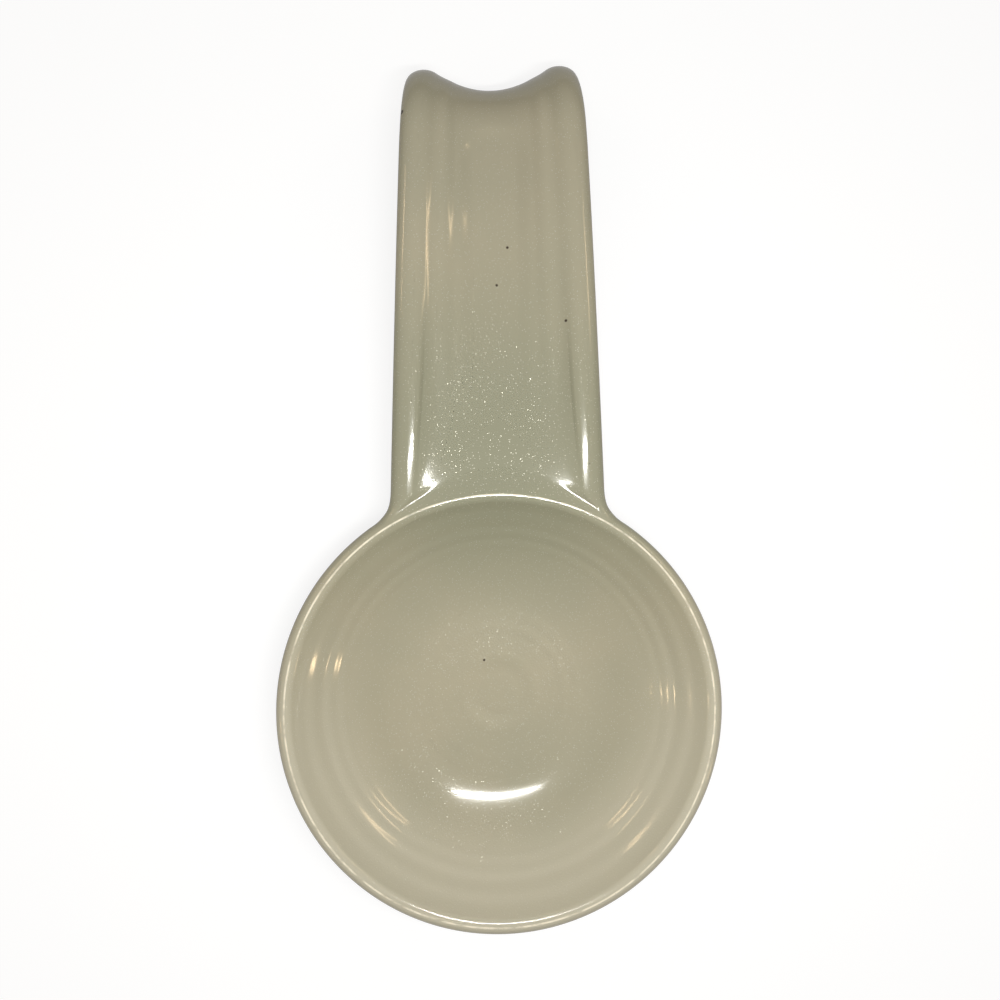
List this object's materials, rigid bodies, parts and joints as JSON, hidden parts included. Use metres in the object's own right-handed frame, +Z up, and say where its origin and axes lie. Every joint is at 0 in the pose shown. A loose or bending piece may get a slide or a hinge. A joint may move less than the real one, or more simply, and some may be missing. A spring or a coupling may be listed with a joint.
{
  "type": "spoon rest",
  "caption": "Glazed stoneware spoon rest: a round ringed dish on a foot ring, with a broad trough handle that rolls down to the counter at its far end.",
  "frame": {"origin": "middle of the foot ring's standing face, on the dish's axis, at counter level", "axes": "+Z up along the dish's axis, +Y along the handle away from the dish, +X across the handle"},
  "size_m": [0.104, 0.208, 0.0317],
  "materials": {
    "bare_clay": "fired, unglazed and lightly ground",
    "stone_glaze": "glossy grey-beige glaze with a fine sparkle and a few dark specks"
  },
  "bodies": {
    "root": {"bowl": "bare_clay", "foot_ring": "bare_clay", "handle": "bare_clay", "heel": "bare_clay", "bowl_glaze": "stone_glaze", "base_glaze": "stone_glaze", "handle_glaze": "stone_glaze"}
  },
  "joints": []
}
